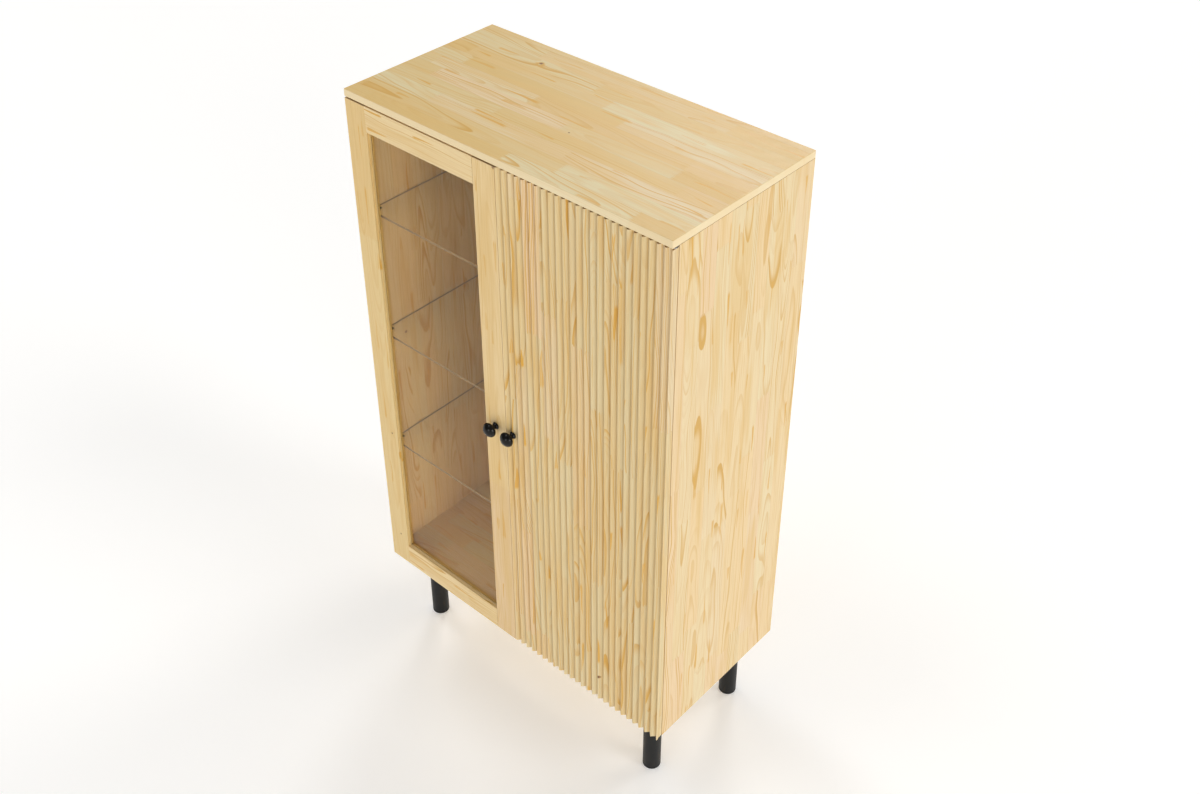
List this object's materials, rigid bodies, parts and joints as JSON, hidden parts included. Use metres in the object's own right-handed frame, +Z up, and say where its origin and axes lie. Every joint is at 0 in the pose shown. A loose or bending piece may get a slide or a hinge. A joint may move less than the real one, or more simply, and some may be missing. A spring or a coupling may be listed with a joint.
{
  "type": "display cabinet",
  "caption": "Tall pine cabinet on round black legs, with a tinted glass door beside a vertically ribbed wooden door, shelves behind both.",
  "frame": {"origin": "centre of the overall box's underside, on the floor", "axes": "+X to the viewer's right, +Y from the doors to the back, +Z up"},
  "size_m": [0.9, 0.475, 1.578],
  "materials": {
    "pine_top": "clear matt lacquer, edge-glued staves along X",
    "pine_side": "clear matt lacquer, upright edge-glued staves",
    "pine_frame": "clear matt lacquer, upright grain",
    "pine_rail": "clear matt lacquer, level grain",
    "pine_ribbed": "clear matt lacquer, upright grain",
    "pine_inside": "clear matt lacquer, staves along X",
    "pine_partition": "clear matt lacquer, upright staves",
    "ply_back": "lacquered pine plywood",
    "tinted_glass": "brown tinted, polished",
    "clear_glass": "clear, ground edges",
    "black_steel": "matt black powder coat",
    "zinc_steel": "bright zinc plate",
    "nickel": "nickel plate",
    "white_nylon": "moulded",
    "black_plastic": "moulded, fine grain"
  },
  "bodies": {
    "case": {"top_panel": "pine_top", "left_side_panel": "pine_side", "right_side_panel": "pine_side", "bottom_panel": "pine_inside", "centre_partition": "pine_partition", "back_panel": "ply_back", "glass_shelf_lower": "clear_glass", "glass_shelf_middle": "clear_glass", "glass_shelf_upper": "clear_glass", "glass_shelf_clips": "zinc_steel", "wood_shelf_lower": "pine_inside", "wood_shelf_middle": "pine_inside", "wood_shelf_upper": "pine_inside", "wood_shelf_clips": "zinc_steel", "leg_front_left": "black_steel", "leg_front_right": "black_steel", "leg_back_left": "black_steel", "leg_back_right": "black_steel", "leg_glides": "black_plastic", "left_lower_pivot_bracket": "zinc_steel", "left_upper_pivot_bracket": "zinc_steel", "right_lower_pivot_bracket": "zinc_steel", "right_upper_pivot_bracket": "zinc_steel", "pivot_pins": "zinc_steel", "door_magnets": "nickel"},
    "glass_door": {"glass_door_hinge_stile": "pine_frame", "glass_door_meeting_stile": "pine_frame", "glass_door_top_rail": "pine_rail", "glass_door_bottom_rail": "pine_rail", "glass_door_pane": "tinted_glass", "glass_door_bead_left": "pine_frame", "glass_door_bead_right": "pine_frame", "glass_door_bead_bottom": "pine_rail", "glass_door_bead_top": "pine_rail", "glass_door_fittings": "black_steel", "glass_door_bushes": "white_nylon"},
    "ribbed_door": {"ribbed_door_panel": "pine_ribbed", "ribbed_door_fittings": "black_steel", "ribbed_door_bushes": "white_nylon"}
  },
  "joints": [
    {"name": "glass_door_hinge", "type": "hinge", "parent": "case", "child": "glass_door", "pos_m": [-0.445, -0.193, 0.89], "axis": [0, 0, -1], "range_deg": [0, 100]},
    {"name": "ribbed_door_hinge", "type": "hinge", "parent": "case", "child": "ribbed_door", "pos_m": [0.445, -0.193, 0.89], "axis": [0, 0, 1], "range_deg": [0, 100]}
  ]
}
